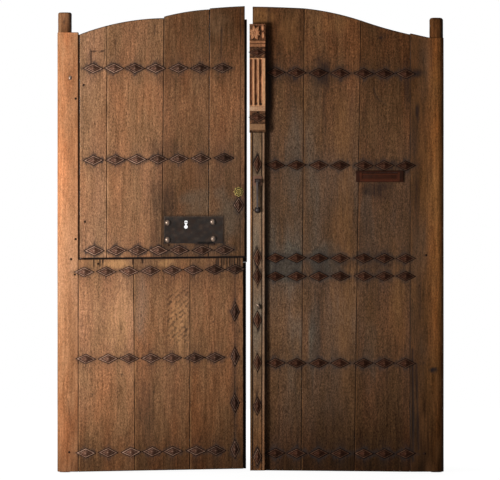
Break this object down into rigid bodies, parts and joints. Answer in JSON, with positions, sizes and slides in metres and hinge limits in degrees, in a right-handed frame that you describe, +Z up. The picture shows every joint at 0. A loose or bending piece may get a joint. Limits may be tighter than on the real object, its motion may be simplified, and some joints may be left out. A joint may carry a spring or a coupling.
{
  "type": "pair of plank door leaves with iron studs",
  "caption": "Pair of old arched plank door leaves on pivot stiles, with lozenge iron studs, an upper hatch, a carved astragal capital, a lock, a knocker and a letter plate.",
  "frame": {"origin": "on the sill, midway between the two pivot axes and midway in depth of the whole pair", "axes": "+Z up, +X to the right as seen from the studded face, +Y away from that viewer, the way the leaves open"},
  "size_m": [2.0118, 0.1654, 2.425],
  "materials": {
    "left_stile_wood": "bare weathered wood, warm orange brown",
    "hatch_wood": "bare weathered wood, mid brown",
    "lower_wood": "bare weathered wood, pitted, mid brown",
    "right_wood": "bare weathered wood, dark grey brown",
    "right_stile_wood": "bare weathered wood, dark brown",
    "framing_wood": "sawn and adzed wood, dark brown",
    "astragal_wood": "worn wood, grey brown",
    "capital_wood": "carved wood, warm brown",
    "stud_iron": "forged iron, rusted dark brown",
    "plate_iron": "forged sheet iron, worn and rusted",
    "forged_iron": "forged iron, dark grey",
    "old_brass": "dull brass",
    "red_paint": "dark red paint, worn"
  },
  "bodies": {
    "sill_pins": {"left_heel_pin": "forged_iron", "right_heel_pin": "forged_iron"},
    "left_leaf": {"left_pivot_stile": "left_stile_wood", "lower_plank_1": "lower_wood", "lower_plank_2": "lower_wood", "lower_plank_3": "lower_wood", "lower_ledge_top": "framing_wood", "lower_ledge_middle": "framing_wood", "lower_ledge_bottom": "framing_wood", "lower_meeting_batten": "framing_wood", "lower_stud_rows": "stud_iron", "lower_edge_studs": "stud_iron", "hinge_pintle_upper": "forged_iron", "hinge_pintle_lower": "forged_iron"},
    "hatch": {"hatch_plank_1": "hatch_wood", "hatch_plank_2": "hatch_wood", "hatch_plank_3": "hatch_wood", "hatch_plank_4": "hatch_wood", "hatch_ledge_top": "framing_wood", "hatch_ledge_middle": "framing_wood", "hatch_ledge_bottom": "framing_wood", "hatch_meeting_batten": "framing_wood", "hatch_stud_rows": "stud_iron", "hatch_edge_stud": "stud_iron", "lock_plate": "plate_iron", "lock_plate_nails": "plate_iron", "lock_case": "forged_iron", "cylinder_rose": "old_brass", "latch_case": "forged_iron", "hinge_strap_upper": "forged_iron", "hinge_strap_lower": "forged_iron"},
    "bolt": {"lock_bolt": "forged_iron"},
    "plug": {"cylinder_plug": "old_brass"},
    "right_leaf": {"right_pivot_stile": "right_stile_wood", "right_plank_1": "right_wood", "right_plank_2": "right_wood", "right_plank_3": "right_wood", "right_ledge_1": "framing_wood", "right_ledge_2": "framing_wood", "right_ledge_3": "framing_wood", "right_ledge_4": "framing_wood", "right_ledge_5": "framing_wood", "right_ledge_6": "framing_wood", "astragal": "astragal_wood", "carved_capital": "capital_wood", "right_stud_rows": "stud_iron", "astragal_studs": "stud_iron", "capital_studs": "stud_iron", "knocker_staple": "forged_iron", "knocker_striker": "forged_iron", "letter_plate": "red_paint", "bolt_keeper": "forged_iron"},
    "knocker": {"knocker_hammer": "forged_iron"},
    "flap": {"letter_flap": "red_paint"}
  },
  "joints": [
    {"name": "left_leaf_swing", "type": "hinge", "parent": "sill_pins", "child": "left_leaf", "pos_m": [-0.967, 0.01725, 0], "axis": [0, 0, 1], "range_deg": [0, 95]},
    {"name": "right_leaf_swing", "type": "hinge", "parent": "sill_pins", "child": "right_leaf", "pos_m": [0.967, 0.01725, 0], "axis": [0, 0, -1], "range_deg": [0, 95]},
    {"name": "hatch_swing", "type": "hinge", "parent": "left_leaf", "child": "hatch", "pos_m": [-0.89275, 0.06975, 1.11065], "axis": [0, 0, 1], "range_deg": [0, 105]},
    {"name": "lock_bolt_slide", "type": "slide", "parent": "hatch", "child": "bolt", "axis": [1, 0, 0], "range_m": [0, 0.05]},
    {"name": "cylinder_turn", "type": "hinge", "parent": "hatch", "child": "plug", "pos_m": [-0.0618, -0.02175, 1.45961], "axis": [0, 1, 0], "range_deg": [0, 90]},
    {"name": "knocker_swing", "type": "hinge", "parent": "right_leaf", "child": "knocker", "pos_m": [0.0357, -0.07075, 1.51611], "axis": [-1, 0, 0], "range_deg": [0, 75]},
    {"name": "letter_flap_swing", "type": "hinge", "parent": "right_leaf", "child": "flap", "pos_m": [0.6713, -0.02575, 1.55483], "axis": [1, 0, 0], "range_deg": [0, 75]}
  ]
}
